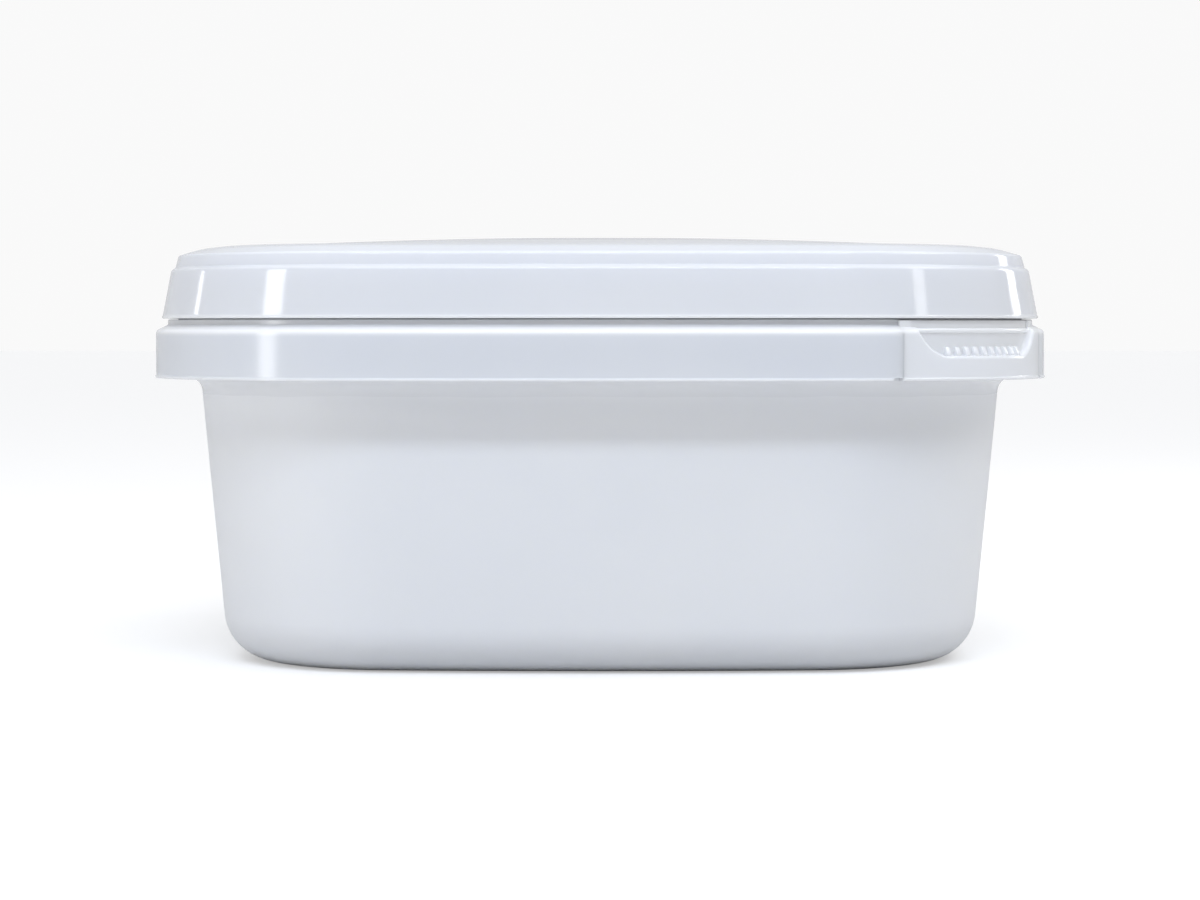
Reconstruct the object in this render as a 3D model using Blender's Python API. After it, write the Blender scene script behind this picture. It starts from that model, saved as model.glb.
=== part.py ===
"""Square storage container with a push-on lid and a break-off corner tab.

A shut, opaque white tub of the kind that prepared food is sold in. The pack
can't be seen into, so the tub and the lid are filled solids. +Z is up, the
tab's corner is at +X, -Y, and the base stands on z = 0. Lengths are metres.
"""
import math

import bmesh
import bpy

MM = 0.001
COLLECTION_NAME = "square_storage_container"

# Plan of the flange: four slightly bowed sides that run into round corners.
FLANGE_HALF = 75.0 * MM
CORNER_RADIUS = 41.0 * MM
SIDE_ANGLE = math.radians(4.0)
CORNER_STEPS = 18
SIDE_STEPS = 6

# Tub body.
FLANGE_Z = 46.7 * MM
BODY_INSET_TOP = 7.7 * MM
BODY_INSET_BASE = 12.1 * MM
BASE_ROUNDING = 8.2 * MM
BASE_ROUNDING_STEPS = 6
FOOT_WIDTH = 5.0 * MM
FOOT_HEIGHT = 1.0 * MM
NECK_FILLET = 1.6 * MM

# Flange, measured inwards from its outer face and up from its lower edge.
FLANGE_EDGE = 0.5 * MM
FLANGE_FACE_TOP = 7.8 * MM
LEDGE_TOP = 9.3 * MM
LEDGE_INSET = 3.2 * MM
RIM_INSET = 3.9 * MM
RIM_TOP = 14.3 * MM

# Lid: an inclined skirt, a step, a bead, a ring that rises inwards, a
# shallow groove and a softly domed panel.
GAP = 0.3 * MM
SKIRT_BOTTOM = 9.75 * MM
SKIRT_INSET = 1.15 * MM
STEP_Z = 17.9 * MM
STEP_INSET = 2.85 * MM
BEAD_INSET = 3.75 * MM
CREST_Z = 20.5 * MM
CREST_INSET = 5.0 * MM
RING_TOP = 21.5 * MM
RING_INSET = 11.8 * MM
GROOVE_DEPTH = 0.7 * MM
GROOVE_WIDTH = 1.8 * MM
PANEL_EDGE = 21.8 * MM
PANEL_CROWN = 24.0 * MM
PANEL_RINGS = 7
PANEL_POWER = 1.5

# Break-off tab, measured along the corner's arc from its middle.
TAB_MIDDLE = math.radians(-45.0)
TAB_HALF = 17.3 * MM
TAB_DEPTH = 2.5 * MM
TAB_STEPS = 44
TAB_FLOOR = 3.9 * MM
FLOOR_HALF = 10.6 * MM
MOUTH_HALF = 15.4 * MM
PANEL_INSET = 1.4 * MM
TAB_PANEL_TOP = 7.9 * MM
TAB_BLOCK_TOP = 9.45 * MM
BLOCK_START = 15.7 * MM
TAB_EDGE = 0.35 * MM
TROUGH_INSET = 4.1 * MM
TROUGH_FLOOR = 3.8 * MM
RIB_COUNT = 10
RIB_PITCH = 2.0 * MM
RIB_WIDTH = 0.8 * MM
RIB_HEIGHT = 1.3 * MM
RIB_SINK = 0.2 * MM
NOTCH_LENGTH = 1.8 * MM
NOTCH_HEIGHT = 0.5 * MM
NOTCH_DEPTH = 1.5 * MM
CUT_CLEAR = 2.0 * MM
ARC_STEPS = 24

WHITE = (0.86, 0.88, 0.90, 1.0)
ROUGHNESS = {"tub": 0.28, "lid": 0.18, "tear_tab": 0.22}


def clear_scene():
    for old in list(bpy.data.objects):
        bpy.data.objects.remove(old, do_unlink=True)


def new_collection(name):
    collection = bpy.data.collections.new(name)
    bpy.context.scene.collection.children.link(collection)
    return collection


def side_radius():
    """Radius of the bowed sides that meet the corner arcs without a kink."""
    lean = math.cos(SIDE_ANGLE) - math.sin(SIDE_ANGLE)
    return (FLANGE_HALF - CORNER_RADIUS * lean) / (1.0 - lean)


def corner_centre():
    """Distance of a corner arc's centre from each middle plane."""
    return (side_radius() - CORNER_RADIUS) * math.sin(SIDE_ANGLE)


def plan(inset):
    """Points of the flange's outline, moved inwards everywhere by inset."""
    big = side_radius()
    centre = corner_centre()
    quarter = []
    for step in range(SIDE_STEPS):
        angle = SIDE_ANGLE * (2.0 * step / SIDE_STEPS - 1.0)
        x = FLANGE_HALF - big + (big - inset) * math.cos(angle)
        quarter.append((x, (big - inset) * math.sin(angle)))
    for step in range(CORNER_STEPS):
        turn = step / CORNER_STEPS
        angle = SIDE_ANGLE + (math.pi / 2.0 - 2.0 * SIDE_ANGLE) * turn
        reach = CORNER_RADIUS - inset
        quarter.append((centre + reach * math.cos(angle), centre + reach * math.sin(angle)))
    points = []
    for side in range(4):
        turn = math.radians(90.0 * side)
        for x, y in quarter:
            points.append((x * math.cos(turn) - y * math.sin(turn),
                           x * math.sin(turn) + y * math.cos(turn)))
    return points


def ring(inset, height, scale=1.0):
    return [(x * scale, y * scale, height) for x, y in plan(inset)]


def add_loops(mesh, loops):
    return [[mesh.verts.new(point) for point in loop] for loop in loops]


def bridge(mesh, lower, upper):
    count = len(lower)
    for i in range(count):
        j = (i + 1) % count
        mesh.faces.new((lower[i], lower[j], upper[j], upper[i]))


def close_with_fan(mesh, loop, height, upward):
    middle = mesh.verts.new((0.0, 0.0, height))
    for i, vert in enumerate(loop):
        other = loop[(i + 1) % len(loop)]
        mesh.faces.new((vert, other, middle) if upward else (other, vert, middle))


def finish_object(name, mesh, collection, smooth_angle=30.0):
    data = bpy.data.meshes.new(name)
    bmesh.ops.recalc_face_normals(mesh, faces=mesh.faces)
    mesh.to_mesh(data)
    mesh.free()
    data.shade_smooth()
    data.set_sharp_from_angle(angle=math.radians(smooth_angle))
    piece = bpy.data.objects.new(name, data)
    collection.objects.link(piece)
    return piece


def stacked_solid(name, loops, bottom_height, top_height, collection):
    """Skin a stack of outlines of equal point count and close both ends."""
    mesh = bmesh.new()
    made = add_loops(mesh, loops)
    for lower, upper in zip(made, made[1:]):
        bridge(mesh, lower, upper)
    close_with_fan(mesh, made[0], bottom_height, False)
    close_with_fan(mesh, made[-1], top_height, True)
    return finish_object(name, mesh, collection)


def body_inset(height):
    return BODY_INSET_BASE + (BODY_INSET_TOP - BODY_INSET_BASE) * height / FLANGE_Z


def tub_loops():
    """Outlines of the tub, from the underside's middle up to the rim."""
    foot_outer = BODY_INSET_BASE + BASE_ROUNDING
    foot_inner = foot_outer + FOOT_WIDTH
    loops = [ring(foot_inner + FOOT_HEIGHT, FOOT_HEIGHT), ring(foot_inner, 0.0)]
    for step in range(BASE_ROUNDING_STEPS + 1):
        angle = math.pi / 2.0 * step / BASE_ROUNDING_STEPS
        height = BASE_ROUNDING * (1.0 - math.cos(angle))
        inset = body_inset(height) + BASE_ROUNDING * (1.0 - math.sin(angle))
        loops.append(ring(inset, height))
    for step in range(4):
        angle = math.pi / 2.0 * step / 3
        height = FLANGE_Z - NECK_FILLET * (1.0 - math.sin(angle))
        loops.append(ring(body_inset(height) - NECK_FILLET * (1.0 - math.cos(angle)), height))
    edge = FLANGE_EDGE
    for inset, height in ((edge, 0.0), (edge * 0.29, edge * 0.29), (0.0, edge),
                          (0.0, FLANGE_FACE_TOP - edge), (edge * 0.25, FLANGE_FACE_TOP - edge * 0.2),
                          (edge, FLANGE_FACE_TOP + edge * 0.4),
                          (LEDGE_INSET, LEDGE_TOP), (RIM_INSET, LEDGE_TOP + edge * 0.4),
                          (RIM_INSET, RIM_TOP - edge), (RIM_INSET + edge, RIM_TOP)):
        loops.append(ring(inset, FLANGE_Z + height))
    return loops


def lid_loops():
    """Outlines of the lid, from its underside out over the skirt to the panel."""
    soft = 0.25 * MM
    inner = RIM_INSET - GAP
    groove = RING_INSET + GROOVE_WIDTH
    profile = (
        (inner + soft, RIM_TOP + GAP),
        (inner, RIM_TOP + GAP - soft),
        (inner, SKIRT_BOTTOM),
        (SKIRT_INSET + soft, SKIRT_BOTTOM),
        (SKIRT_INSET, SKIRT_BOTTOM + soft),
        (STEP_INSET - 0.25 * MM, STEP_Z - 0.9 * MM),
        (STEP_INSET, STEP_Z - soft),
        (STEP_INSET + soft, STEP_Z),
        (BEAD_INSET - 0.1 * MM, STEP_Z + 0.05 * MM),
        (BEAD_INSET, STEP_Z + 0.2 * MM),
        (BEAD_INSET + 0.25 * MM, CREST_Z - 0.5 * MM),
        (BEAD_INSET + 0.5 * MM, CREST_Z - 0.12 * MM),
        (CREST_INSET, CREST_Z),
        (CREST_INSET + 1.5 * MM, CREST_Z + 0.2 * MM),
        (CREST_INSET + 4.0 * MM, CREST_Z + 0.85 * MM),
        (RING_INSET - 0.5 * MM, RING_TOP),
        (RING_INSET, RING_TOP - 0.1 * MM),
        (RING_INSET + 0.4 * MM, RING_TOP - GROOVE_DEPTH),
        (groove - 0.4 * MM, RING_TOP - GROOVE_DEPTH),
        (groove, PANEL_EDGE - 0.3 * MM),
        (groove + 0.5 * MM, PANEL_EDGE),
    )
    return [ring(inset, FLANGE_Z + height) for inset, height in profile]


def panel_loops():
    """Outlines of the domed panel, each a smaller copy of its edge."""
    edge_inset = RING_INSET + GROOVE_WIDTH + 0.5 * MM
    loops = []
    for step in range(1, PANEL_RINGS):
        scale = 1.0 - step / PANEL_RINGS
        rise = (PANEL_CROWN - PANEL_EDGE) * (1.0 - scale ** PANEL_POWER)
        loops.append(ring(edge_inset, FLANGE_Z + PANEL_EDGE + rise, scale))
    return loops


def corner_point(inset, along, height):
    """A point beside the tab's corner, by its distance along the flange's arc."""
    angle = TAB_MIDDLE + along / CORNER_RADIUS
    reach = CORNER_RADIUS - inset
    centre = corner_centre()
    return (centre + reach * math.cos(angle), -centre + reach * math.sin(angle), FLANGE_Z + height)


def arc_solid(name, sections, collection):
    """Skin closed sections that follow each other along the corner's arc."""
    mesh = bmesh.new()
    made = add_loops(mesh, sections)
    for lower, upper in zip(made, made[1:]):
        bridge(mesh, lower, upper)
    mesh.faces.new(reversed(made[0]))
    mesh.faces.new(made[-1])
    return finish_object(name, mesh, collection)


def arc_block(name, inset_range, along_range, height_range, collection, steps=ARC_STEPS):
    sections = []
    for step in range(steps + 1):
        along = along_range[0] + (along_range[1] - along_range[0]) * step / steps
        corners = ((inset_range[0], height_range[0]), (inset_range[0], height_range[1]),
                   (inset_range[1], height_range[1]), (inset_range[1], height_range[0]))
        sections.append([corner_point(inset, along, height) for inset, height in corners])
    return arc_solid(name, sections, collection)


def mouth_height(distance):
    """Height of the tab's outer wall at a distance from the tab's middle."""
    if distance <= FLOOR_HALF:
        return TAB_FLOOR
    if distance >= MOUTH_HALF:
        return FLANGE_FACE_TOP
    way = (distance - FLOOR_HALF) / (MOUTH_HALF - FLOOR_HALF)
    return TAB_FLOOR + (FLANGE_FACE_TOP - TAB_FLOOR) * way ** 1.5


def tab_section(along):
    """The tab's closed section: outer wall, floor of the recess, inset panel."""
    distance = abs(along)
    lip = mouth_height(distance)
    in_mouth = distance < MOUTH_HALF
    shelf = lip if in_mouth else FLANGE_FACE_TOP + 0.8 * MM
    back = TAB_BLOCK_TOP if distance > BLOCK_START else TAB_PANEL_TOP
    outline = (
        (TAB_EDGE, 0.0),
        (0.0, TAB_EDGE),
        (0.0, lip - TAB_EDGE),
        (TAB_EDGE, lip),
        (PANEL_INSET - 0.1 * MM, shelf),
        (PANEL_INSET, max(shelf + 0.1 * MM, back - TAB_EDGE)),
        (PANEL_INSET + TAB_EDGE, back),
        (TAB_DEPTH - TAB_EDGE, back),
        (TAB_DEPTH, back - TAB_EDGE),
        (TAB_DEPTH, 0.0),
    )
    return [corner_point(inset, along, height) for inset, height in outline]


def tab_stations():
    """Places along the arc, with close pairs where the section changes fast."""
    places = {-TAB_HALF, TAB_HALF}
    for step in range(TAB_STEPS + 1):
        places.add(MOUTH_HALF * (2.0 * step / TAB_STEPS - 1.0))
    for side in (-1.0, 1.0):
        for edge in (MOUTH_HALF + 0.15 * MM, BLOCK_START, BLOCK_START + 0.25 * MM):
            places.add(side * edge)
    return sorted(places)


def add_modifier(piece, operand, kind):
    boolean = piece.modifiers.new("boolean", "BOOLEAN")
    boolean.operation = kind
    boolean.solver = "EXACT"
    if isinstance(operand, bpy.types.Collection):
        boolean.operand_type = "COLLECTION"
        boolean.collection = operand
    else:
        boolean.object = operand


def make_tub(collection, cutters):
    tub = stacked_solid("tub", tub_loops(), FOOT_HEIGHT, FLANGE_Z + RIM_TOP, collection)
    far = TAB_HALF + GAP
    above = TAB_BLOCK_TOP - 0.15 * MM
    arc_block("tab_pocket", (-CUT_CLEAR, TAB_DEPTH + GAP), (-far, far), (-CUT_CLEAR, above), cutters)
    arc_block("tab_trough", (-CUT_CLEAR, TROUGH_INSET), (-far, far), (TROUGH_FLOOR, above), cutters)
    for side in (-1.0, 1.0):
        span = sorted((side * (far - GAP), side * (far + NOTCH_LENGTH)))
        arc_block("tear_notch", (-CUT_CLEAR, NOTCH_DEPTH), span, (-CUT_CLEAR, NOTCH_HEIGHT), cutters, 2)
    add_modifier(tub, cutters, "DIFFERENCE")
    return tub


def make_lid(collection):
    loops = lid_loops() + panel_loops()
    return stacked_solid("lid", loops, FLANGE_Z + RIM_TOP + GAP, FLANGE_Z + PANEL_CROWN, collection)


def make_tab(collection, ribs):
    tab = arc_solid("tear_tab", [tab_section(along) for along in tab_stations()], collection)
    for index in range(RIB_COUNT):
        middle = (index - (RIB_COUNT - 1) / 2.0) * RIB_PITCH
        arc_block("rib", (TAB_EDGE, PANEL_INSET + RIB_SINK),
                  (middle - RIB_WIDTH / 2.0, middle + RIB_WIDTH / 2.0),
                  (TAB_FLOOR - RIB_SINK, TAB_FLOOR + RIB_HEIGHT), ribs, 1)
    add_modifier(tab, ribs, "UNION")
    return tab


def hide_tools(collection):
    for tool in collection.objects:
        tool.hide_render = True
        tool.display_type = "WIRE"


def plastic(name):
    material = bpy.data.materials.new(name + "_plastic")
    material.use_nodes = True
    shader = material.node_tree.nodes["Principled BSDF"]
    shader.inputs["Base Color"].default_value = WHITE
    shader.inputs["Roughness"].default_value = ROUGHNESS[name]
    shader.inputs["Metallic"].default_value = 0.0
    return material


def main():
    clear_scene()
    pieces = new_collection(COLLECTION_NAME)
    cutters = new_collection("cutters")
    ribs = new_collection("ribs")
    made = [make_tub(pieces, cutters), make_lid(pieces), make_tab(pieces, ribs)]
    hide_tools(cutters)
    hide_tools(ribs)
    for piece in made:
        piece.data.materials.append(plastic(piece.name))


main()
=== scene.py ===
"""Looks of the square storage container: a glossy white tub with a push-on lid.

The tub, the lid and the break-off corner tab are modelled again with a fine
surface, in the frame of the solids, and lit with tall soft lights. Metres.
"""
import math

import bpy
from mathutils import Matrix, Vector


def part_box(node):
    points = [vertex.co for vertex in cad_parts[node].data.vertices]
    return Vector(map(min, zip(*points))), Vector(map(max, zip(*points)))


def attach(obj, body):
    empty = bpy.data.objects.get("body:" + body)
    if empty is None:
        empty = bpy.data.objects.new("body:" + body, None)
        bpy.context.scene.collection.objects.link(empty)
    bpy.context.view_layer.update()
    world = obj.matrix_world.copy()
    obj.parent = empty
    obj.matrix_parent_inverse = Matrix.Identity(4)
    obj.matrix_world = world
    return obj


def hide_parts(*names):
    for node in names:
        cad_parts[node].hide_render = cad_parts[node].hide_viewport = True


MM = 0.001
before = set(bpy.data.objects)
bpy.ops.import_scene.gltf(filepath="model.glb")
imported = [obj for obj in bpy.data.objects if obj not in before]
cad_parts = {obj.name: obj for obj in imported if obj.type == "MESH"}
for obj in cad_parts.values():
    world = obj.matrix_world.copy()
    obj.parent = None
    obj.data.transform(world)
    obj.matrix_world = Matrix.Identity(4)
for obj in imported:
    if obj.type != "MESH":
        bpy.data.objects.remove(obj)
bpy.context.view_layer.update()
tub_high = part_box("tub")[1]
lid_low, lid_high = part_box("lid")
tab_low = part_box("tear_tab")[0]

# Directions of a profile in degrees: 0 leads inwards and 90 upwards.
INWARDS = 0.0
UPWARDS = 90.0

# Plan of the flange: bowed sides that run into round corners.
FLANGE_HALF = tub_high.x
CORNER_RADIUS = 41.0 * MM
SIDE_ANGLE = math.radians(4.0)
SIDE_STEPS = 22
CORNER_STEPS = 44
LEAN = math.cos(SIDE_ANGLE) - math.sin(SIDE_ANGLE)
SIDE_RADIUS = (FLANGE_HALF - CORNER_RADIUS * LEAN) / (1.0 - LEAN)
CORNER_CENTRE = (SIDE_RADIUS - CORNER_RADIUS) * math.sin(SIDE_ANGLE)

# Heights that the solids give.
FLANGE_Z = tab_low.z
RIM_Z = tub_high.z
SKIRT_Z = lid_low.z
CROWN_Z = lid_high.z

# Tub, as insets from the flange's outer face and heights above its lower edge.
FACE_TOP = 7.3 * MM
FLARE_HEIGHT = 0.3 * MM
FLARE_TILT = 45.0
FLARE_LIP = 0.15 * MM
FLARE_STEP = 0.04 * MM
FLARE_HOLLOW = 0.25 * MM
LEDGE_ROUND = 0.8 * MM
LEDGE_SLOPE = math.radians(25.0)
LEDGE_INSET = 2.15 * MM
NECK_FOOT_RUN = 0.2 * MM
NECK_FOOT_ROUND = 0.3 * MM
NECK_DROP = 0.4 * MM
NECK_TOP_ROUND = 0.25 * MM
RIM_INSET = 3.9 * MM
RIM_FOOT_ROUND = 0.2 * MM
RIM_ROUND = 0.5 * MM
BODY_INSET_TOP = 7.7 * MM
BODY_INSET_BASE = 12.1 * MM
NECK_FILLET = 2.2 * MM
BASE_ROUND = 8.2 * MM
FOOT_WIDTH = 5.0 * MM
FOOT_ROUND = 0.5 * MM
FOOT_TILT = 45.0
FOOT_HOLLOW = 0.7 * MM

# Lid, as heights above the flange's lower edge and insets from its face.
LID_GAP = 0.3 * MM
SKIRT_INSET = 1.15 * MM
SKIRT_EDGE = 0.25 * MM
SKIRT_LIP = 0.1 * MM
SKIRT_LIP_TILT = 40.0
SKIRT_LIP_CURVE = 0.3 * MM
SKIRT_LEAN = 11.0
STEP_HEIGHT = 17.35 * MM
STEP_ROUND = 0.8 * MM
STEP_SLOPE = 30.0
STEP_RUN = 0.3 * MM
STEP_HOLLOW = 0.25 * MM
BEAD_LEAN = 75.0
CREST_HEIGHT = 20.2 * MM
CREST_ROUND = 0.65 * MM
RING_SLOPE = 16.0
RING_TURN = 6.6 * MM
RING_CURVE = 14.0 * MM
RING_END_SLOPE = 6.0
RING_INSET = 11.4 * MM
DITCH_TILT = 60.0
DITCH_EDGE = 0.5 * MM
DITCH_RUN = 0.2 * MM
DITCH_FALL = 0.34 * MM
DITCH_ROUND = 0.4 * MM
DITCH_FLOOR = 0.5 * MM
DOME_FOOT = 21.5 * MM
DOME_EDGE_DROP = 0.3 * MM
DOME_EDGE_ROUND = 0.6 * MM
DOME_EDGE_SLOPE = 8.0
DOME_RINGS = 20
DOME_POWER = 1.5

# Tab, as distances along the corner's arc from its middle, insets and heights.
ARC_STEP = 0.8 * MM
TAB_HALF = 17.3 * MM
TAB_GAP = 0.3 * MM
TAB_DEPTH = 2.5 * MM
TAB_OVERLAP = 0.2 * MM
PANEL_INSET = 1.4 * MM
PANEL_TOP = 8.2 * MM
BACK_INSET = 1.8 * MM
BACK_OVERLAP = 0.1 * MM
BLOCK_TOP = 9.4 * MM
TAB_FLOOR = 3.9 * MM
MOUTH_FLAT = 9.4 * MM
MOUTH_LIP = 15.5 * MM
LIP_HEIGHT = 7.8 * MM
MOUTH_HALF = 16.4 * MM
MOUTH_TOP = 9.9 * MM
MOUTH_TURN = 60.0
MOUTH_STEPS = 14
MOUTH_POWER = 0.9
CUT_CLEAR = 1.0 * MM
NOTCH_LENGTH = 1.8 * MM
NOTCH_HEIGHT = 0.5 * MM
NOTCH_DEPTH = 1.5 * MM
LIP_ROUND = 0.6 * MM
PANEL_FILLET = 0.4 * MM
SCORE = 0.03 * MM
SCORE_FOOT = 0.1 * MM
RAIL_RADIUS = 0.42 * MM
RAIL_PROUD = 0.3 * MM
RAIL_OVERLAP = 0.1 * MM
RAIL_SIDES = 20
RIB_COUNT = 10
RIB_PITCH = 2.0 * MM
RIB_WIDTH = 0.85 * MM
RIB_FOOT = 0.5 * MM
RIB_FOOT_RISE = 0.3 * MM
RIB_PROUD = 0.35 * MM
RIB_RISE = 1.4 * MM
RIB_SINK = 0.3 * MM
RIB_ROUND = 0.13 * MM
RIB_ROUND_STEPS = 2

# Fine measures of the meshes: the close loops beside an edge, and what counts as equal.
HUG = 0.08 * MM
LEAST_HUGGED = 4.0 * HUG
SAME_POINT = 0.02 * MM
SAME_HEIGHT = 0.001 * MM
NEAR = 0.01 * MM
CENTRED = 1.0 * MM
FACING = 0.99
SMOOTH_ANGLE = 40.0

# White polypropylene.
PLASTIC_IOR = 1.49
MILKINESS = 0.4
MILKY_RADIUS = (1.0, 1.0, 1.1)
MILKY_SCALE = 3.0 * MM
BODY_WHITE = (0.875, 0.88, 0.89, 1.0)
# Painted shade: the flange's face is coloured darker than the body of the same plastic, standing in for
# the dimmer light on it.
FLANGE_SHADED_WHITE = (0.745, 0.76, 0.788, 1.0)
LID_WHITE = (0.78, 0.79, 0.818, 1.0)
TAB_WHITE = (0.865, 0.872, 0.892, 1.0)
# Painted shade: a grey tone on the neck in the groove under the lid's skirt, standing in for its shade.
NECK_SHADE_GREY = (0.72, 0.725, 0.74, 1.0)
# Painted highlight: a whiter tone on the flange's lower edge, its ledge, the skirt's lower edge and the
# tab's edges, standing in for highlights on round edges.
EDGE_HIGHLIGHT_WHITE = (0.92, 0.92, 0.93, 1.0)
CLOUD_TINT = (0.975, 0.98, 0.99, 1.0)
CLOUD_SCALE = 30.0
CLOUD_DETAIL = 3.0
CLOUD_RANGE = (0.35, 0.65)
GLOSS_BLEND = 3.0 * MM
GLOSS_DROP = 1.0 * MM
SMEAR_SCALE = 90.0
SMEAR_DETAIL = 2.0
SMEAR_SHARE = 0.15
WAVE_SCALE = 35.0
WAVE_DETAIL = 1.0
WAVE_STRENGTH = 0.15
WAVE_DEPTH = 0.04 * MM
GRAIN_SCALE = 1400.0
GRAIN_DETAIL = 4.0
GRAIN_DEPTH = 0.02 * MM
NECK_ROUGHNESS = 0.16
BODY_ROUGHNESS = 0.38
LID_ROUGHNESS = 0.09
TAB_ROUGHNESS = 0.16
BODY_GRAIN = 0.12
LID_GRAIN = 0.005
TAB_GRAIN = 0.05

# Where one tone of white ends and the next begins: painted highlights at the flange's lower edge, its
# ledge and the skirt's lower edge, and painted shade in the neck under the skirt. The ranges are heights
# above the lower edge of the flange or skirt; the ledge's painted highlight begins below the top of the
# face.
UNDER_HIGHLIGHT_BLEND = 0.1 * MM
EDGE_HIGHLIGHT_RANGE = (0.2 * MM, 0.4 * MM)
LEDGE_HIGHLIGHT_DROP = 0.3 * MM
LEDGE_HIGHLIGHT_BLEND = 0.5 * MM
NECK_SHADE_RANGE = (8.3 * MM, 8.6 * MM)
SKIRT_HIGHLIGHT_RANGE = (0.3 * MM, 0.6 * MM)

# The two colours that a mix node takes and the one that it gives, by their place.
MIX_FIRST = 6
MIX_SECOND = 7
MIX_RESULT = 2
PLAIN_WHITE = (1.0, 1.0, 1.0, 1.0)

# Floor, surroundings, lights and camera.
FLOOR_SIZE = 12.0
FLOOR_GLOW = 0.38
FLOOR_ROUGHNESS = 0.9
FLOOR_SPECULAR = 0.1
FLOOR_CLOUD_SCALE = 3.0
FLOOR_TINTS = ((0.66, 0.66, 0.66, 1.0), (0.68, 0.68, 0.68, 1.0))
ROOM_COLOUR = (0.97, 0.98, 1.0, 1.0)
ROOM_LIGHT = 0.28
BACKDROP_LIGHT = 0.5
BACKDROP_RANGE = (0.5, 0.9)
CEILING_LIGHT = 1.1
CEILING_RANGE = (0.55, 0.8)
SEEN_LIGHT = 0.95
LIGHT_DISTANCE = 0.75
LIGHT_LEVEL = 0.05
# Each light: name, azimuth and elevation in degrees, width and height, brightness.
SOFT_LIGHTS = (
    ("left_strip", -59.7, 16.7, 0.12, 0.125, 8.0),
    ("left_low_strip", -58.5, 0.0, 0.1, 0.2, 8.0),
    ("right_strip", 56.7, 16.7, 0.07, 0.125, 4.5),
    ("left_rim_strip", -108.0, 8.3, 0.04, 0.11, 6.0),
    ("right_rim_strip", 121.3, 15.5, 0.1, 0.25, 6.0),
    ("right_fill", 75.0, 45.0, 0.3, 0.2, 3.5),
)
KEY_LIGHT = ("key", 0.0, 46.0, 0.6, 0.08, 14.0)
KEY_COLOUR = (0.76, 0.85, 1.0)
LENS = 93.6
CLIP_START = 0.01
CAMERA_DISTANCE = 0.554
CAMERA_RISE = 8.75 * MM
CAMERA_PITCH = 2.3


def deselect_all():
    for piece in list(bpy.context.selected_objects):
        piece.select_set(False)


def pick(piece):
    """Make a piece the only selected object, and the active one."""
    deselect_all()
    piece.select_set(True)
    bpy.context.view_layer.objects.active = piece


def edit(piece):
    pick(piece)
    bpy.ops.object.mode_set(mode="EDIT")


def leave_edit():
    bpy.ops.object.mode_set(mode="OBJECT")


def clear_selection(mesh):
    for group in (mesh.vertices, mesh.edges, mesh.polygons):
        group.foreach_set("select", [False] * len(group))


def select_faces(piece, chosen):
    """Select the faces for which chosen(centre, normal) holds, and edit the piece."""
    leave_edit()
    mesh = piece.data
    clear_selection(mesh)
    for face in mesh.polygons:
        if chosen(face.center, face.normal):
            face.select = True
    bpy.ops.object.mode_set(mode="EDIT")
    bpy.ops.mesh.select_mode(type="FACE")


def turned(point, quarter_turns):
    """A plan point turned about the middle by quarter turns."""
    x, y = point
    for _ in range(quarter_turns):
        x, y = -y, x
    return (x, y, 0.0)


def single_point(name, place):
    """A new piece of one vertex at a place, left in edit mode."""
    deselect_all()
    bpy.ops.mesh.primitive_plane_add(size=MM)
    piece = bpy.context.object
    piece.name = name
    edit(piece)
    bpy.ops.mesh.select_mode(type="VERT")
    bpy.ops.mesh.select_all(action="SELECT")
    bpy.ops.mesh.merge(type="CENTER")
    bpy.ops.transform.translate(value=place)
    return piece


def outline_face(name, inset, height):
    """One flat face with the container's plan, drawn by spinning a point round it."""
    side = SIDE_RADIUS - inset
    start = (FLANGE_HALF - SIDE_RADIUS + side * math.cos(SIDE_ANGLE), -side * math.sin(SIDE_ANGLE))
    piece = single_point(name, (start[0], start[1], height))
    arcs = (((FLANGE_HALF - SIDE_RADIUS, 0.0), SIDE_STEPS, 2.0 * SIDE_ANGLE),
            ((CORNER_CENTRE, CORNER_CENTRE), CORNER_STEPS, math.pi / 2.0 - 2.0 * SIDE_ANGLE))
    for quarter in range(4):
        for middle, steps, angle in arcs:
            bpy.ops.mesh.spin(steps=steps, angle=angle, center=turned(middle, quarter), axis=(0, 0, -1))
    bpy.ops.mesh.select_all(action="SELECT")
    bpy.ops.mesh.remove_doubles(threshold=SAME_POINT)
    bpy.ops.mesh.edge_face_add()
    bpy.ops.mesh.normals_make_consistent(inside=False)
    leave_edit()
    return piece


def thicken(piece, height):
    """Extrude the outline face upwards to a closed plate."""
    edit(piece)
    bpy.ops.mesh.select_all(action="SELECT")
    bpy.ops.mesh.extrude_region_move(TRANSFORM_OT_translate={"value": (0.0, 0.0, height)})
    bpy.ops.mesh.select_all(action="SELECT")
    bpy.ops.mesh.normals_make_consistent(inside=False)
    leave_edit()


def straight(inset, rise):
    """A straight stretch of profile, with a close loop at each end unless it is short."""
    length = math.hypot(inset, rise)
    if length < LEAST_HUGGED:
        return [(inset, rise)]
    share = HUG / length
    ends = (inset * share, rise * share)
    middle = (inset * (1.0 - 2.0 * share), rise * (1.0 - 2.0 * share))
    return [ends, middle, ends]


def bend(radius, start, end, steps):
    """A round stretch in short steps: its direction turns from start to end."""
    moves = []
    for step in range(steps):
        a = math.radians(start + (end - start) * (step + 0.5) / steps)
        length = radius * abs(math.radians(end - start)) / steps
        moves.append((length * math.cos(a), length * math.sin(a)))
    return moves


def build_profile(moves):
    """Carry the selected end face along a profile of moves (inwards, outwards)."""
    for inset, rise in moves:
        bpy.ops.mesh.inset(thickness=max(inset, 0.0), depth=rise, use_even_offset=True)
    leave_edit()


def smooth_finish(piece):
    pick(piece)
    bpy.ops.object.shade_smooth_by_angle(angle=math.radians(SMOOTH_ANGLE))


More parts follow.
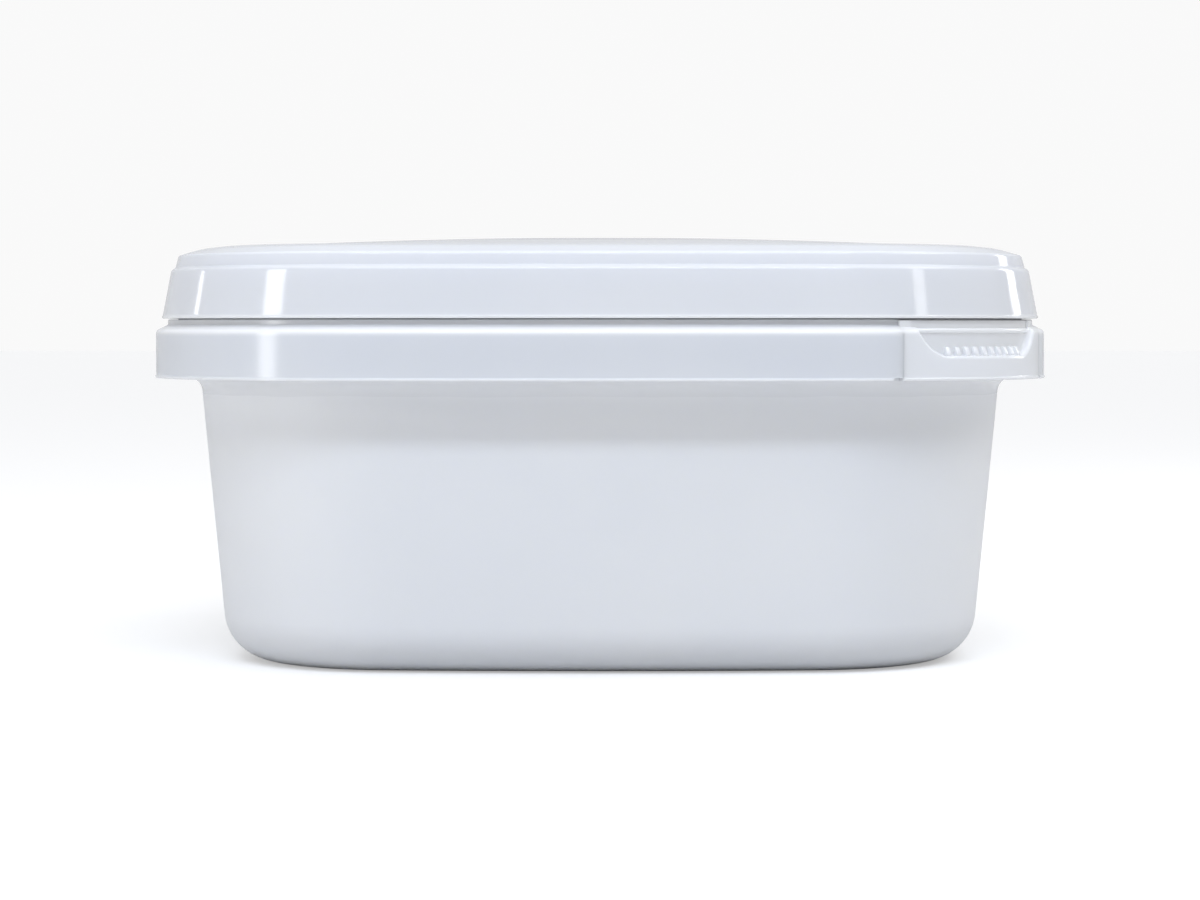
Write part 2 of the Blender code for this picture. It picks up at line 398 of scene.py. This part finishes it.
def end_face(piece, upward):
    """Select the one level face that spans the whole plan, and give its height."""
    sign = 1.0 if upward else -1.0

    def spans(centre, normal):
        return sign * normal.z > FACING and math.hypot(centre.x, centre.y) < CENTRED

    def at_end(centre, normal):
        return spans(centre, normal) and sign * centre.z > top - SAME_HEIGHT

    faces = [face for face in piece.data.polygons if spans(face.center, face.normal)]
    top = max(sign * face.center.z for face in faces)
    select_faces(piece, at_end)
    return sign * top


def rise_of(moves):
    return sum(rise for inset, rise in moves)


def reach_of(moves):
    return sum(inset for inset, rise in moves)


def up_to(moves, height, angle):
    """Add a straight stretch at an angle that ends at a height above the start."""
    rise = height - rise_of(moves)
    run = 0.0 if angle == UPWARDS else rise / math.tan(math.radians(angle))
    moves += straight(run, rise)


def in_to(moves, inset, angle=INWARDS):
    """Add a straight stretch at an angle that ends at an inset from the start."""
    run = inset - reach_of(moves)
    moves += straight(run, run * math.tan(math.radians(angle)))


def flare_profile():
    """From the flange's widest edge back to its upright face."""
    moves = bend(FLARE_LIP, UPWARDS, FLARE_TILT, 3)
    moves += straight(FLARE_STEP, FLARE_STEP)
    return moves + bend(FLARE_HOLLOW, FLARE_TILT, UPWARDS, 4)


def ledge_profile():
    """Up the flange's face and over its round edge onto the sloping ledge."""
    slope = math.degrees(LEDGE_SLOPE)
    moves = flare_profile()
    up_to(moves, FACE_TOP - FLARE_HEIGHT, UPWARDS)
    moves += bend(LEDGE_ROUND, UPWARDS, slope, 7)
    return moves


def flange_profile():
    """Over the sloping ledge and the neck to the rim, which the lid hides."""
    slope = math.degrees(LEDGE_SLOPE)
    moves = ledge_profile()
    in_to(moves, LEDGE_INSET - NECK_FOOT_RUN, slope)
    moves += bend(NECK_FOOT_ROUND, slope, UPWARDS, 4)
    up_to(moves, SKIRT_Z - FLANGE_Z - NECK_DROP - FLARE_HEIGHT, UPWARDS)
    moves += bend(NECK_TOP_ROUND, UPWARDS, INWARDS, 4)
    in_to(moves, RIM_INSET - RIM_FOOT_ROUND)
    moves += bend(RIM_FOOT_ROUND, INWARDS, UPWARDS, 3)
    up_to(moves, RIM_Z - FLANGE_Z - FLARE_HEIGHT - RIM_ROUND, UPWARDS)
    moves += bend(RIM_ROUND, UPWARDS, INWARDS, 4)
    return moves


def body_profile():
    """From the flange's face under it, down the tapered body to the foot ring."""
    moves = bend(FLARE_HEIGHT - HUG, UPWARDS, INWARDS, 5)
    in_to(moves, BODY_INSET_TOP - NECK_FILLET)
    taper = math.atan((BODY_INSET_BASE - BODY_INSET_TOP) / FLANGE_Z)
    lean = UPWARDS - math.degrees(taper)
    moves += bend(NECK_FILLET, INWARDS, lean, 7)
    last = bend(BASE_ROUND, lean, INWARDS, 14)
    start_height = FLANGE_Z + FLARE_HEIGHT - HUG
    up_to(moves, start_height - rise_of(last), lean)
    moves += last
    in_to(moves, reach_of(moves) + FOOT_WIDTH)
    moves += bend(FOOT_ROUND, INWARDS, -FOOT_TILT, 4)
    moves += straight(FOOT_HOLLOW, -FOOT_HOLLOW)
    moves += bend(FOOT_ROUND, -FOOT_TILT, INWARDS, 4)
    return moves


def make_tub_skin():
    """Tub: flange wall, sloped ledge and rim above; underside, body and foot below."""
    tub = outline_face("tub_skin", 0.0, FLANGE_Z + FLARE_HEIGHT - HUG)
    thicken(tub, HUG)
    end_face(tub, True)
    build_profile(flange_profile())
    end_face(tub, False)
    build_profile(body_profile())
    return tub


def lid_profile():
    """From the skirt's lower edge up over the step, the bead, the ring and the ditch."""
    base = SKIRT_Z + SKIRT_EDGE + HUG
    lean = UPWARDS - SKIRT_LEAN
    moves = bend(SKIRT_LIP, UPWARDS, SKIRT_LIP_TILT, 3)
    moves += bend(SKIRT_LIP_CURVE, SKIRT_LIP_TILT, lean, 4)
    up_to(moves, FLANGE_Z + STEP_HEIGHT - base, lean)
    moves += bend(STEP_ROUND, lean, STEP_SLOPE, 8)
    slope = math.radians(STEP_SLOPE)
    moves += straight(STEP_RUN * math.cos(slope), STEP_RUN * math.sin(slope))
    moves += bend(STEP_HOLLOW, STEP_SLOPE, BEAD_LEAN, 5)
    crest = bend(CREST_ROUND, BEAD_LEAN, RING_SLOPE, 10)
    up_to(moves, FLANGE_Z + CREST_HEIGHT - rise_of(crest) - base, BEAD_LEAN)
    moves += crest
    in_to(moves, RING_TURN - SKIRT_INSET, RING_SLOPE)
    moves += bend(RING_CURVE, RING_SLOPE, RING_END_SLOPE, 6)
    in_to(moves, RING_INSET - SKIRT_INSET, RING_END_SLOPE)
    moves += bend(DITCH_EDGE, RING_END_SLOPE, -DITCH_TILT, 6)
    moves += straight(DITCH_RUN, -DITCH_FALL)
    moves += bend(DITCH_ROUND, -DITCH_TILT, INWARDS, 4)
    moves += straight(DITCH_FLOOR, 0.0)
    moves += bend(DITCH_ROUND, INWARDS, DITCH_TILT, 4)
    up_to(moves, FLANGE_Z + DOME_FOOT - DOME_EDGE_DROP - base, DITCH_TILT)
    moves += bend(DOME_EDGE_ROUND, DITCH_TILT, DOME_EDGE_SLOPE, 5)
    return moves


def skirt_underside():
    """From the skirt's lower edge inwards, then up to the lid's underside."""
    moves = bend(SKIRT_EDGE, UPWARDS, INWARDS, 4)
    in_to(moves, RIM_INSET - LID_GAP - SKIRT_INSET)
    moves += straight(0.0, SKIRT_Z - RIM_Z - LID_GAP)
    return moves


def dome(piece, height):
    """Carry the panel's edge inwards as ever smaller, higher copies of itself."""
    start = end_face(piece, True)
    level = start
    scale = 1.0
    for step in range(1, DOME_RINGS):
        goal = 1.0 - step / DOME_RINGS
        rise = start + (height - start) * (1.0 - goal ** DOME_POWER) - level
        bpy.ops.mesh.extrude_region_move(TRANSFORM_OT_translate={"value": (0.0, 0.0, rise)})
        factor = goal / scale
        bpy.ops.transform.resize(value=(factor, factor, 1.0), center_override=(0.0, 0.0, 0.0))
        scale, level = goal, level + rise
    bpy.ops.mesh.poke(offset=height - level)
    leave_edit()


def make_lid_skin():
    """Lid: an inclined skirt below a step and a bead, and a softly domed panel."""
    lid = outline_face("lid_skin", SKIRT_INSET, SKIRT_Z + SKIRT_EDGE)
    thicken(lid, HUG)
    end_face(lid, True)
    build_profile(lid_profile())
    end_face(lid, False)
    build_profile(skirt_underside())
    dome(lid, CROWN_Z)
    return lid


def cut_through(piece, places, direction):
    """Cut the whole mesh at each of the places along a direction, keeping all of it."""
    edit(piece)
    for place in places:
        bpy.ops.mesh.select_all(action="SELECT")
        point = tuple(place * part for part in direction)
        bpy.ops.mesh.bisect(plane_co=point, plane_no=direction)
    leave_edit()


def drawn_prism(name, places, push):
    """Draw an outline vertex by vertex, fill it and extrude it to a closed prism."""
    piece = single_point(name, places[0])
    for here, there in zip(places, places[1:]):
        step = [b - a for a, b in zip(here, there)]
        bpy.ops.mesh.extrude_region_move(TRANSFORM_OT_translate={"value": step})
    bpy.ops.mesh.select_all(action="SELECT")
    bpy.ops.mesh.edge_face_add()
    bpy.ops.mesh.extrude_region_move(TRANSFORM_OT_translate={"value": push})
    bpy.ops.mesh.select_all(action="SELECT")
    bpy.ops.mesh.normals_make_consistent(inside=False)
    leave_edit()
    return piece


def block(name, along, inset, height):
    """A box given by its ranges along the arc, of inset and of height."""
    places = [(along[0], inset[0], height[0]), (along[1], inset[0], height[0]),
              (along[1], inset[1], height[0]), (along[0], inset[1], height[0])]
    return drawn_prism(name, places, (0.0, 0.0, height[1] - height[0]))


def apply_modifier(piece, kind, **settings):
    pick(piece)
    modifier = piece.modifiers.new(kind.lower(), kind)
    for name, value in settings.items():
        setattr(modifier, name, value)
    bpy.ops.object.modifier_apply(modifier=modifier.name)


def select_edges(piece, chosen):
    """Select the edges for which chosen(one end, other end) holds."""
    edit(piece)
    bpy.ops.mesh.select_mode(type="EDGE")
    leave_edit()
    mesh = piece.data
    clear_selection(mesh)
    for edge in mesh.edges:
        one, other = [mesh.vertices[index].co for index in edge.vertices]
        edge.select = chosen(one, other)
    bpy.ops.object.mode_set(mode="EDIT")


def round_edges(piece, chosen, width, segments):
    select_edges(piece, chosen)
    bpy.ops.mesh.bevel(offset=width, offset_type="OFFSET", segments=segments, affect="EDGES",
                       clamp_overlap=True)
    leave_edit()


def combine(piece, tool, operation):
    apply_modifier(piece, "BOOLEAN", object=tool, operation=operation, solver="EXACT")
    bpy.data.objects.remove(tool)


def bend_round_corner(piece):
    """Bend a piece drawn flat round the flange's corner, and put it in its place."""
    along = [vertex.co.x for vertex in piece.data.vertices]
    reach = max(along)
    count = int(2.0 * reach / ARC_STEP)
    places = [reach * (2.0 * step / count - 1.0) for step in range(1, count)]
    cut_through(piece, places, (1.0, 0.0, 0.0))
    apply_modifier(piece, "SIMPLE_DEFORM", deform_method="BEND", deform_axis="Z",
                   angle=(reach - min(along)) / CORNER_RADIUS)
    eighth = math.pi / 4.0
    place = CORNER_CENTRE + CORNER_RADIUS * math.sin(eighth)
    piece.location = (place, -place, FLANGE_Z)
    piece.rotation_euler = (0.0, 0.0, eighth)
    pick(piece)
    bpy.ops.object.transform_apply(location=True, rotation=True, scale=True)
    return piece


def mouth_outline():
    """Half of the mouth's outer edge: flat floor, a round turn, then a slanting side."""
    points = []
    floor = TAB_FLOOR - LIP_ROUND
    end = math.radians(MOUTH_TURN)
    for step in range(MOUTH_STEPS + 1):
        turn = end * step / MOUTH_STEPS
        along = MOUTH_FLAT + (MOUTH_LIP - MOUTH_FLAT) * math.sin(turn) / math.sin(end)
        climb = (1.0 - math.cos(turn)) / (1.0 - math.cos(end))
        points.append((along, floor + (LIP_HEIGHT - floor) * climb ** MOUTH_POWER))
    points.append((MOUTH_HALF, MOUTH_TOP))
    return points


def make_rail():
    """The rounded rail along the top of the panel, proud of its face."""
    deselect_all()
    reach = MOUTH_HALF + RAIL_OVERLAP
    place = (0.0, PANEL_INSET + RAIL_RADIUS - RAIL_PROUD, PANEL_TOP - RAIL_RADIUS)
    bpy.ops.mesh.primitive_cylinder_add(vertices=RAIL_SIDES, radius=RAIL_RADIUS, depth=2.0 * reach,
                                        location=place, rotation=(0.0, math.pi / 2.0, 0.0))
    rail = bpy.context.object
    bpy.ops.object.transform_apply(location=True, rotation=True, scale=True)
    return rail


def make_rib(middle):
    """One short wedge-shaped grip rib at the foot of the panel."""
    side = middle - RIB_WIDTH / 2.0
    foot = TAB_FLOOR - RIB_SINK
    head = TAB_FLOOR + RIB_RISE
    back = PANEL_INSET + RIB_SINK
    outline = ((RIB_FOOT, foot), (RIB_FOOT, TAB_FLOOR + RIB_FOOT_RISE), (PANEL_INSET - RIB_PROUD, head),
               (back, head), (back, foot))
    rib = drawn_prism("rib", [(side, inset, height) for inset, height in outline], (RIB_WIDTH, 0.0, 0.0))
    round_edges(rib, lambda one, other: min(one.z, other.z) > foot + NEAR, RIB_ROUND, RIB_ROUND_STEPS)
    return rib


def traced(inset, height, moves):
    """The places that a run of moves passes after its start, as (inset, height)."""
    places = []
    for run, rise in moves:
        inset, height = inset + run, height + rise
        places.append((inset, height))
    return places


def tab_block(half):
    """The tab's solid block: the flange's profile in front, the shoulder's top above."""
    under = [(run, -rise) for run, rise in bend(FLARE_HEIGHT, UPWARDS, INWARDS, 5)]
    outline = traced(0.0, FLARE_HEIGHT, under)
    outline.reverse()
    outline += [(0.0, FLARE_HEIGHT)] + traced(0.0, FLARE_HEIGHT, ledge_profile())
    inset, height = outline[-1]
    height += (PANEL_INSET - inset) * math.tan(LEDGE_SLOPE)
    outline += [(PANEL_INSET, height), (PANEL_INSET, BLOCK_TOP), (TAB_DEPTH, BLOCK_TOP), (TAB_DEPTH, 0.0)]
    places = [(-half, inset, height) for inset, height in outline]
    return drawn_prism("tab_skin", places, (2.0 * half, 0.0, 0.0))


def score_end(tab, side, half):
    """Cut a fine slanting score into the tab's end, where it tears from the flange."""
    depth = TAB_OVERLAP + SCORE
    far = half + CUT_CLEAR
    outline = ((half - depth, -CUT_CLEAR), (half - depth, SCORE_FOOT), (half, SCORE_FOOT + depth),
               (far, SCORE_FOOT + depth), (far, -CUT_CLEAR))
    places = [(side * along, inset, -CUT_CLEAR) for along, inset in outline]
    combine(tab, drawn_prism("score", places, (0.0, 0.0, 3.0 * CUT_CLEAR + MOUTH_TOP)), "DIFFERENCE")


def mouth_profile():
    """From the flange's face over the round lip, then into the fillet at the panel."""
    moves = bend(LIP_ROUND, INWARDS, UPWARDS, 6)
    last = bend(PANEL_FILLET, UPWARDS, INWARDS, 5)
    depth = PANEL_INSET - reach_of(flare_profile())
    moves += straight(0.0, depth - rise_of(moves) - rise_of(last))
    return moves + last


def cut_mouth(tab):
    """Cut the mouth down to the panel, with a round lip and a fillet at its foot."""
    side = mouth_outline()
    top = MOUTH_TOP + 2.0 * CUT_CLEAR
    outline = [(x, -CUT_CLEAR, z) for x, z in side]
    outline += [(MOUTH_HALF, -CUT_CLEAR, top), (-MOUTH_HALF, -CUT_CLEAR, top)]
    outline += [(-x, -CUT_CLEAR, z) for x, z in reversed(side)]
    mouth = drawn_prism("mouth", outline, (0.0, CUT_CLEAR + reach_of(flare_profile()), 0.0))
    select_faces(mouth, lambda centre, normal: normal.y > FACING)
    build_profile(mouth_profile())
    combine(tab, mouth, "DIFFERENCE")


def make_tab_skin():
    """Tab: flange face with a mouth in it, a set-back panel with a rail, and ribs."""
    half = TAB_HALF + TAB_GAP + TAB_OVERLAP
    tab = tab_block(half)
    back = (PANEL_INSET - BACK_OVERLAP, BACK_INSET)
    reach = MOUTH_HALF - LIP_ROUND
    combine(tab, block("behind", (-reach, reach), back, (PANEL_TOP, MOUTH_TOP)), "DIFFERENCE")
    cut_mouth(tab)
    for side in (-1.0, 1.0):
        score_end(tab, side, half)
    combine(tab, make_rail(), "UNION")
    for index in range(RIB_COUNT):
        combine(tab, make_rib((index - (RIB_COUNT - 1) / 2.0) * RIB_PITCH), "UNION")
    return bend_round_corner(tab)


def cut_pocket(tub):
    """Cut the place of the tab and the notches beside its tear lines."""
    far = TAB_HALF + TAB_GAP
    reach = far + NOTCH_LENGTH
    pocket = block("pocket", (-far, far), (-CUT_CLEAR, TAB_DEPTH + TAB_GAP), (-CUT_CLEAR, BLOCK_TOP))
    notches = block("notches", (-reach, reach), (-CUT_CLEAR, NOTCH_DEPTH), (-CUT_CLEAR, NOTCH_HEIGHT))
    for cut in (pocket, notches):
        combine(tub, bend_round_corner(cut), "DIFFERENCE")


def tone_by_height(tree, places, tones):
    """Colour by height, whose tones paint highlights on round edges and shade where less light falls."""
    split = tree.nodes.new("ShaderNodeSeparateXYZ")
    share = tree.nodes.new("ShaderNodeMapRange")
    share.inputs["From Max"].default_value = CROWN_Z
    ramp = tree.nodes.new("ShaderNodeValToRGB")
    stops = ramp.color_ramp.elements
    while len(stops) < len(tones):
        stops.new(0.5)
    for stop, (height, colour) in zip(stops, tones):
        stop.position = height / CROWN_Z
        stop.color = colour
    tree.links.new(places, split.inputs["Vector"])
    tree.links.new(split.outputs["Z"], share.inputs["Value"])
    tree.links.new(share.outputs["Result"], ramp.inputs["Fac"])
    return ramp.outputs["Color"]


def clouded(tree, places, colour):
    """Vary a colour a little in soft clouds, as moulded plastic does."""
    cloud = tree.nodes.new("ShaderNodeTexNoise")
    cloud.inputs["Scale"].default_value = CLOUD_SCALE
    cloud.inputs["Detail"].default_value = CLOUD_DETAIL
    tint = tree.nodes.new("ShaderNodeValToRGB")
    for stop, place, tone in zip(tint.color_ramp.elements, CLOUD_RANGE, (CLOUD_TINT, PLAIN_WHITE)):
        stop.position = place
        stop.color = tone
    mix = tree.nodes.new("ShaderNodeMix")
    mix.data_type = "RGBA"
    mix.blend_type = "MULTIPLY"
    mix.inputs["Factor"].default_value = 1.0
    tree.links.new(places, cloud.inputs["Vector"])
    tree.links.new(cloud.outputs["Fac"], tint.inputs["Fac"])
    tree.links.new(colour, mix.inputs[MIX_FIRST])
    tree.links.new(tint.outputs["Color"], mix.inputs[MIX_SECOND])
    return mix.outputs[MIX_RESULT]


def smeared_gloss(tree, places, rough_high, rough_low, change_z):
    """Roughness with faint smears, of one value below a height and another above it."""
    split = tree.nodes.new("ShaderNodeSeparateXYZ")
    gloss = tree.nodes.new("ShaderNodeMapRange")
    gloss.interpolation_type = "SMOOTHSTEP"
    gloss.inputs["From Min"].default_value = change_z - GLOSS_BLEND
    gloss.inputs["From Max"].default_value = change_z
    gloss.inputs["To Min"].default_value = rough_low
    gloss.inputs["To Max"].default_value = rough_high
    smear = tree.nodes.new("ShaderNodeTexNoise")
    smear.inputs["Scale"].default_value = SMEAR_SCALE
    smear.inputs["Detail"].default_value = SMEAR_DETAIL
    vary = tree.nodes.new("ShaderNodeMapRange")
    vary.inputs["To Min"].default_value = 1.0 - SMEAR_SHARE
    vary.inputs["To Max"].default_value = 1.0 + SMEAR_SHARE
    product = tree.nodes.new("ShaderNodeMath")
    product.operation = "MULTIPLY"
    tree.links.new(places, split.inputs["Vector"])
    tree.links.new(split.outputs["Z"], gloss.inputs["Value"])
    tree.links.new(places, smear.inputs["Vector"])
    tree.links.new(smear.outputs["Fac"], vary.inputs["Value"])
    tree.links.new(gloss.outputs["Result"], product.inputs[0])
    tree.links.new(vary.outputs["Result"], product.inputs[1])
    return product.outputs["Value"]


def moulded_relief(tree, places, grain):
    """Slow waves of the thin wall under a fine moulded grain."""
    sink = tree.nodes.new("ShaderNodeBump")
    sink.inputs["Strength"].default_value = WAVE_STRENGTH
    sink.inputs["Distance"].default_value = WAVE_DEPTH
    skin = tree.nodes.new("ShaderNodeBump")
    skin.inputs["Strength"].default_value = grain
    skin.inputs["Distance"].default_value = GRAIN_DEPTH
    layers = ((WAVE_SCALE, WAVE_DETAIL, sink), (GRAIN_SCALE, GRAIN_DETAIL, skin))
    for scale, detail, bump in layers:
        texture = tree.nodes.new("ShaderNodeTexNoise")
        texture.inputs["Scale"].default_value = scale
        texture.inputs["Detail"].default_value = detail
        tree.links.new(places, texture.inputs["Vector"])
        tree.links.new(texture.outputs["Fac"], bump.inputs["Height"])
    tree.links.new(sink.outputs["Normal"], skin.inputs["Normal"])
    return skin.outputs["Normal"]


def white_plastic(name, tones, rough_high, rough_low, change_z, grain):
    """White polypropylene, with a roughness of its own above and below a height."""
    material = bpy.data.materials.new(name)
    material.use_nodes = True
    tree = material.node_tree
    shader = tree.nodes["Principled BSDF"]
    shader.inputs["IOR"].default_value = PLASTIC_IOR
    shader.inputs["Subsurface Weight"].default_value = MILKINESS
    shader.inputs["Subsurface Radius"].default_value = MILKY_RADIUS
    shader.inputs["Subsurface Scale"].default_value = MILKY_SCALE
    places = tree.nodes.new("ShaderNodeTexCoord").outputs["Object"]
    colour = clouded(tree, places, tone_by_height(tree, places, tones))
    rough = smeared_gloss(tree, places, rough_high, rough_low, change_z)
    tree.links.new(colour, shader.inputs["Base Color"])
    tree.links.new(rough, shader.inputs["Roughness"])
    tree.links.new(moulded_relief(tree, places, grain), shader.inputs["Normal"])
    return material


def camera_only(tree, seen, real):
    """Show one shader to the camera, and light the container with another."""
    path = tree.nodes.new("ShaderNodeLightPath")
    mix = tree.nodes.new("ShaderNodeMixShader")
    tree.links.new(path.outputs["Is Camera Ray"], mix.inputs["Fac"])
    tree.links.new(real, mix.inputs[1])
    tree.links.new(seen, mix.inputs[2])
    return mix.outputs["Shader"]


def pale_floor():
    """Pale matt floor, shown a little lighter, as a lit white sweep is."""
    material = bpy.data.materials.new("pale_floor")
    material.use_nodes = True
    tree = material.node_tree
    shader = tree.nodes["Principled BSDF"]
    shader.inputs["Roughness"].default_value = FLOOR_ROUGHNESS
    shader.inputs["Specular IOR Level"].default_value = FLOOR_SPECULAR
    cloud = tree.nodes.new("ShaderNodeTexNoise")
    cloud.inputs["Scale"].default_value = FLOOR_CLOUD_SCALE
    tint = tree.nodes.new("ShaderNodeValToRGB")
    for stop, tone in zip(tint.color_ramp.elements, FLOOR_TINTS):
        stop.color = tone
    tree.links.new(cloud.outputs["Fac"], tint.inputs["Fac"])
    tree.links.new(tint.outputs["Color"], shader.inputs["Base Color"])
    glow = tree.nodes.new("ShaderNodeEmission")
    glow.inputs["Strength"].default_value = FLOOR_GLOW
    bright = tree.nodes.new("ShaderNodeAddShader")
    tree.links.new(shader.outputs["BSDF"], bright.inputs[0])
    tree.links.new(glow.outputs["Emission"], bright.inputs[1])
    surface = camera_only(tree, bright.outputs["Shader"], shader.outputs["BSDF"])
    tree.links.new(surface, tree.nodes["Material Output"].inputs["Surface"])
    return material


def make_floor():
    deselect_all()
    bpy.ops.mesh.primitive_plane_add(size=FLOOR_SIZE)
    floor = bpy.context.object
    floor.name = "floor"
    floor.data.materials.append(pale_floor())


def make_world():
    """White room, brighter at the ceiling and at the backdrop behind the container."""
    world = bpy.data.worlds.new("studio")
    bpy.context.scene.world = world
    world.use_nodes = True
    tree = world.node_tree
    room = tree.nodes["Background"]
    room.inputs["Color"].default_value = ROOM_COLOUR
    direction = tree.nodes.new("ShaderNodeTexCoord")
    split = tree.nodes.new("ShaderNodeSeparateXYZ")
    tree.links.new(direction.outputs["Generated"], split.inputs["Vector"])
    glows = []
    ways = (("Y", BACKDROP_RANGE, BACKDROP_LIGHT), ("Z", CEILING_RANGE, CEILING_LIGHT))
    for way, reach, level in ways:
        glow = tree.nodes.new("ShaderNodeMapRange")
        glow.interpolation_type = "SMOOTHSTEP"
        glow.inputs["From Min"].default_value = reach[0]
        glow.inputs["From Max"].default_value = reach[1]
        glow.inputs["To Min"].default_value = ROOM_LIGHT / 2.0
        glow.inputs["To Max"].default_value = level
        tree.links.new(split.outputs[way], glow.inputs["Value"])
        glows.append(glow)
    total = tree.nodes.new("ShaderNodeMath")
    total.operation = "ADD"
    for socket, glow in zip(total.inputs, glows):
        tree.links.new(glow.outputs["Result"], socket)
    tree.links.new(total.outputs["Value"], room.inputs["Strength"])
    seen = tree.nodes.new("ShaderNodeBackground")
    seen.inputs["Strength"].default_value = SEEN_LIGHT
    seen.inputs["Color"].default_value = PLAIN_WHITE
    surface = camera_only(tree, seen.outputs["Background"], room.outputs["Background"])
    tree.links.new(surface, tree.nodes["World Output"].inputs["Surface"])


def soft_light(name, azimuth, elevation, width, height, glow):
    """A rectangular soft light, facing the container, of a given brightness."""
    data = bpy.data.lights.new(name, "AREA")
    data.shape = "RECTANGLE"
    data.size = width
    data.size_y = height
    data.energy = glow * math.pi * width * height
    lamp = bpy.data.objects.new(name, data)
    bpy.context.scene.collection.objects.link(lamp)
    turn, tilt = math.radians(azimuth), math.radians(elevation)
    lamp.location = (LIGHT_DISTANCE * math.sin(turn) * math.cos(tilt),
                     -LIGHT_DISTANCE * math.cos(turn) * math.cos(tilt),
                     LIGHT_LEVEL + LIGHT_DISTANCE * math.sin(tilt))
    lamp.rotation_euler = (math.radians(90.0) - tilt, 0.0, turn)
    return lamp


def make_lights():
    """Tall strips, seen as upright bands in the round corners, and a key light above."""
    for row in SOFT_LIGHTS:
        soft_light(*row)
    key = soft_light(*KEY_LIGHT)
    key.data.color = KEY_COLOUR


def make_camera():
    data = bpy.data.cameras.new("camera")
    camera = bpy.data.objects.new("camera", data)
    bpy.context.scene.collection.objects.link(camera)
    data.lens = LENS
    data.clip_start = CLIP_START
    camera.location = (0.0, -CAMERA_DISTANCE, FLANGE_Z + CAMERA_RISE)
    camera.rotation_euler = (math.radians(90.0 - CAMERA_PITCH), 0.0, 0.0)
    bpy.context.scene.camera = camera
    bpy.context.scene.view_settings.view_transform = "Standard"


def steps_of_tone(first, changes):
    """Stops of a ramp by height: each change ends one tone and begins the next."""
    stops = [(0.0, first)]
    tone = first
    for end, start, following in changes:
        stops += [(end, tone), (start, following)]
        tone = following
    return stops + [(CROWN_Z, tone)]


def flange_tones(face_white):
    """The changes of tone at the flange: a painted highlight at its lower edge, the face's own tone, and
    a painted highlight on the ledge.
    """
    edge_highlight_end, face_start = [FLANGE_Z + height for height in EDGE_HIGHLIGHT_RANGE]
    # Painted highlight on the ledge, from a little below the top of the face.
    face_end = FLANGE_Z + FACE_TOP - LEDGE_HIGHLIGHT_DROP
    ledge_highlight_start = face_end + LEDGE_HIGHLIGHT_BLEND
    return [(edge_highlight_end, face_start, face_white), (face_end, ledge_highlight_start, EDGE_HIGHLIGHT_WHITE)]


def make_looks():
    """The three plastics: satin tub, glossy lid and glossy tab, toned by height with painted highlights
    on edges and painted shade on the flange's face and in the neck.
    """
    # Painted shade in the neck under the lid's skirt, from this range up.
    neck_shade_from, neck_shade_to = [FLANGE_Z + height for height in NECK_SHADE_RANGE]
    # Painted highlight on the skirt's lower edge, below this range.
    skirt_highlight_end, skirt_start = [SKIRT_Z + height for height in SKIRT_HIGHLIGHT_RANGE]
    # Painted highlight on the flange's lower edge, from just under it.
    under = [(FLANGE_Z - UNDER_HIGHLIGHT_BLEND, FLANGE_Z, EDGE_HIGHLIGHT_WHITE)]
    neck_shade = [(neck_shade_from, neck_shade_to, NECK_SHADE_GREY)]
    # Painted shade on the flange's face, painted highlights at its lower edge and ledge, painted shade in
    # the neck.
    tub_tones = steps_of_tone(BODY_WHITE, under + flange_tones(FLANGE_SHADED_WHITE) + neck_shade)
    lid_tones = steps_of_tone(EDGE_HIGHLIGHT_WHITE, [(skirt_highlight_end, skirt_start, LID_WHITE)])
    tab_tones = steps_of_tone(EDGE_HIGHLIGHT_WHITE, flange_tones(TAB_WHITE))
    satin = white_plastic("satin_tub", tub_tones, NECK_ROUGHNESS, BODY_ROUGHNESS,
                          FLANGE_Z - GLOSS_DROP, BODY_GRAIN)
    gloss = white_plastic("gloss_lid", lid_tones, LID_ROUGHNESS, LID_ROUGHNESS, SKIRT_Z, LID_GRAIN)
    tag = white_plastic("gloss_tab", tab_tones, TAB_ROUGHNESS, TAB_ROUGHNESS, FLANGE_Z, TAB_GRAIN)
    return satin, gloss, tag


def make_container():
    tub = make_tub_skin()
    cut_pocket(tub)
    lid = make_lid_skin()
    tab = make_tab_skin()
    satin, gloss, tag = make_looks()
    for piece in (tub, lid, tab):
        smooth_finish(piece)
    apply_modifier(tab, "WEIGHTED_NORMAL", mode="FACE_AREA", keep_sharp=True)
    for piece, node, look in ((tub, "tub", satin), (lid, "lid", gloss), (tab, "tear_tab", tag)):
        piece.data.materials.clear()
        piece.data.materials.append(look)
        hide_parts(node)
        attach(piece, "root")


make_container()
make_floor()
make_world()
make_lights()
make_camera()
